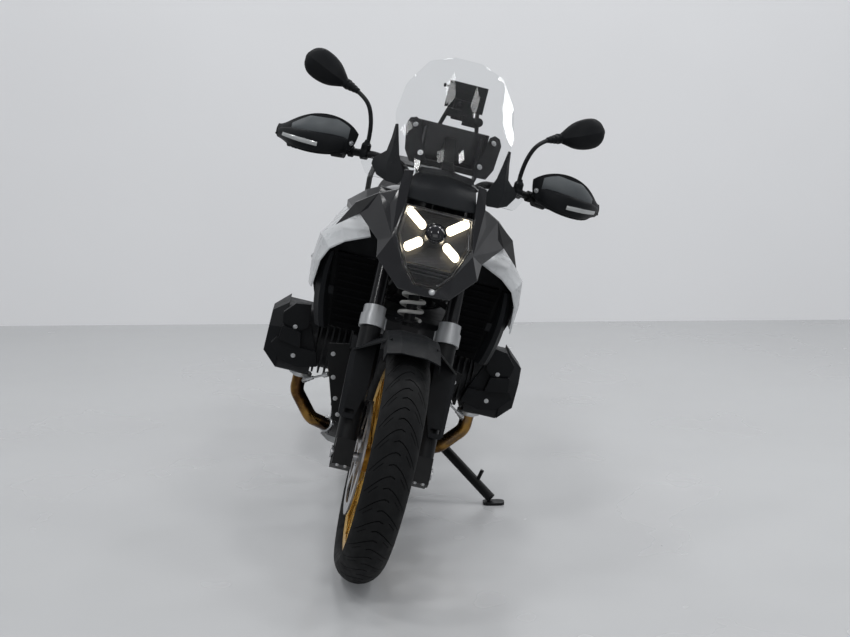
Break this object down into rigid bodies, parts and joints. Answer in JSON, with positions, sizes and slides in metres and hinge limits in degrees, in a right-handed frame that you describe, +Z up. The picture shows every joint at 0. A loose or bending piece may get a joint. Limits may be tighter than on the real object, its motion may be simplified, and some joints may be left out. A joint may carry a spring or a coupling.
{
  "type": "adventure motorcycle",
  "caption": "Adventure motorcycle with a flat-twin engine, tall screen, hand guards and wire wheels, leaning on its side stand, with turning wheels and steering.",
  "frame": {"origin": "middle of the parked machine on the floor, under the centre of its bounding box", "axes": "+Y from the front wheel to the rear wheel, +Z up, +X to the rider's left, the side it leans to"},
  "size_m": [1.0228, 2.1918, 1.4032],
  "materials": {
    "black_paint": "satin black paint",
    "cast_dark": "dark coated casting",
    "black_plastic": "fine grained black moulding",
    "grey_plastic": "satin dark grey moulding",
    "white_panel": "gloss white",
    "gloss_black": "gloss black",
    "clear_screen": "clear polycarbonate",
    "lamp_glass": "clear lamp lens",
    "light": "lit warm white light guide",
    "seat_cover": "grained seat cover",
    "silver": "satin silver",
    "steel": "machined steel",
    "header_steel": "heat tinted stainless steel",
    "spring_grey": "light grey paint",
    "gold": "gold anodised",
    "tyre": "black rubber",
    "grip_rubber": "ribbed rubber",
    "screen_display": "dark display"
  },
  "bodies": {
    "chassis": {"main_frame": "black_paint", "engine_block": "cast_dark", "cylinders": "cast_dark", "head_covers": "black_plastic", "radiators": "black_plastic", "radiator_shrouds": "grey_plastic", "side_panels": "white_panel", "fuel_tank": "gloss_black", "rider_seat": "seat_cover", "pillion_seat": "seat_cover", "headlamp": "gloss_black", "lamp_lens": "lamp_glass", "light_bars": "light", "beak": "gloss_black", "lamp_cover": "grey_plastic", "windscreen": "clear_screen", "screen_brackets": "black_plastic", "wind_deflectors": "grey_plastic", "display": "screen_display", "nav_cradle": "black_plastic", "fairing_carrier": "black_paint", "rear_carrier": "black_paint", "tail_unit": "black_plastic", "rear_hugger": "black_plastic", "swing_arm": "cast_dark", "rear_strut": "black_paint", "exhaust_headers": "header_steel", "silencer": "steel", "footpegs": "cast_dark", "skid_plate": "black_paint", "stand_bracket": "black_paint", "a_arm": "cast_dark", "front_strut": "black_paint", "front_spring": "spring_grey"},
    "steering": {"fork_sliders": "black_paint", "fork_bridge": "silver", "fork_tubes": "black_paint", "handlebar": "black_paint", "grips": "grip_rubber", "bar_controls": "black_plastic", "hand_guards": "black_plastic", "mirrors": "black_plastic", "front_fender": "black_plastic", "brake_calipers": "cast_dark", "front_axle": "steel"},
    "front_wheel": {"front_tyre": "tyre", "front_rim": "gold", "front_discs": "steel"},
    "rear_wheel": {"rear_tyre": "tyre", "rear_rim": "gold", "rear_disc": "steel"},
    "side_stand": {"side_stand": "black_paint"}
  },
  "joints": [
    {"name": "steering_turn", "type": "hinge", "parent": "chassis", "child": "steering", "pos_m": [-0.05027, -0.49432, 0.78504], "axis": [0.2186, 0.4408, 0.8706], "range_deg": [-39.1, 36.9]},
    {"name": "front_wheel_spin", "type": "hinge", "parent": "steering", "child": "front_wheel", "pos_m": [-0.16703, -0.77926, 0.31659], "axis": [0.9676, 0.0174, -0.2518], "continuous": true},
    {"name": "rear_wheel_spin", "type": "hinge", "parent": "chassis", "child": "rear_wheel", "pos_m": [-0.16953, 0.73873, 0.31131], "axis": [0.9699, 0.0002, -0.2436], "continuous": true},
    {"name": "stand_fold", "type": "hinge", "parent": "chassis", "child": "side_stand", "pos_m": [0.00259, -0.0092, 0.24063], "axis": [0.7768, -0.0005, 0.6297], "range_deg": [0, 100]}
  ]
}
